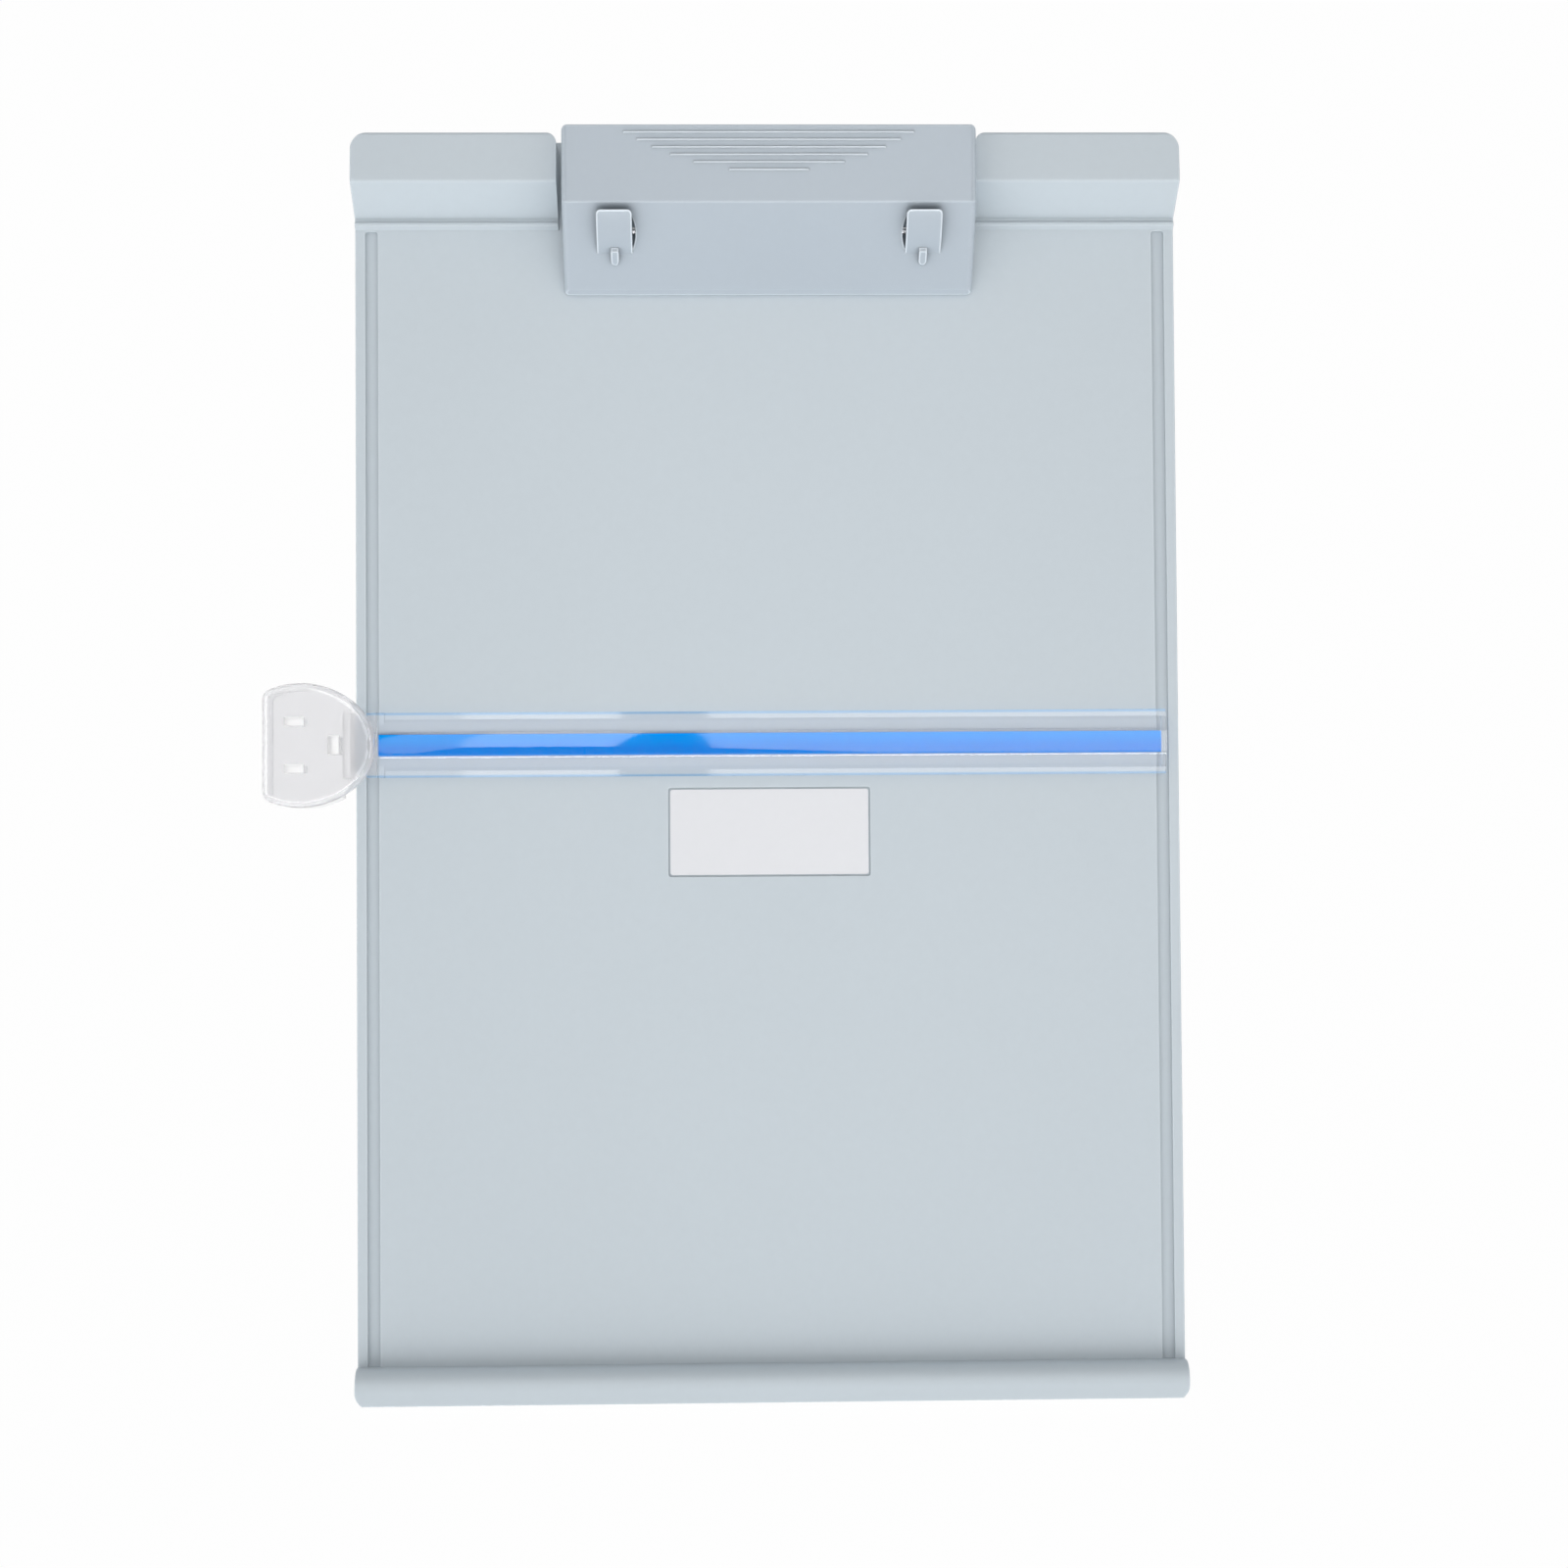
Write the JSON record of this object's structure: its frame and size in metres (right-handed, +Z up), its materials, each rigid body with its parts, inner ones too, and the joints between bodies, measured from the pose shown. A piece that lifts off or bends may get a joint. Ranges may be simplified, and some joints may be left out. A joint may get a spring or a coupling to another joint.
{
  "type": "document holder",
  "caption": "Leaning desktop document holder with a paper ledge, a spring press clip along the top, a clear sliding line guide with a side knob, and a fold-out easel leg.",
  "frame": {"origin": "on the desk, under the middle of the front foot's sole", "axes": "+Z up, +X to the reader's right along the board, +Y away from the reader, towards the easel leg"},
  "size_m": [0.2577, 0.1471, 0.3412],
  "materials": {
    "board_plastic": "satin moulded plastic, pale blue-grey",
    "clip_plastic": "satin moulded plastic, blue-grey",
    "clear_plastic": "polished clear plastic",
    "frosted_plastic": "milky plastic",
    "blue_film": "bright blue film",
    "label": "satin silver-grey sheet",
    "steel": "bright drawn steel",
    "rubber": "matt rubber"
  },
  "bodies": {
    "board": {"board": "board_plastic", "label_plate": "label", "front_foot": "rubber", "clip_pin_left": "steel", "clip_pin_right": "steel", "clip_spring_left": "steel", "clip_spring_right": "steel", "leg_pin_left": "steel", "leg_pin_right": "steel"},
    "clip": {"clip_lever": "clip_plastic"},
    "line_guide": {"guide_bar": "clear_plastic", "guide_stripe": "blue_film", "guide_knob": "clear_plastic", "guide_carriage": "frosted_plastic", "guide_brake_spring": "steel"},
    "leg": {"easel_leg": "board_plastic", "leg_feet": "rubber"}
  },
  "joints": [
    {"name": "clip_open", "type": "hinge", "parent": "board", "child": "clip", "pos_m": [0, 0.09783, 0.31177], "axis": [-1, 0, 0], "range_deg": [0, 22], "stiffness_Nm_per_rad": 0.84, "springref_deg": -14.32, "deforming": ["clip_spring_left", "clip_spring_right"]},
    {"name": "guide_slide", "type": "slide", "parent": "board", "child": "line_guide", "axis": [0, 0.342, 0.9397], "range_m": [-0.15, 0.114]},
    {"name": "leg_fold", "type": "hinge", "parent": "board", "child": "leg", "pos_m": [0, 0.08654, 0.2334], "axis": [1, 0, 0], "range_deg": [-31, 0]}
  ]
}
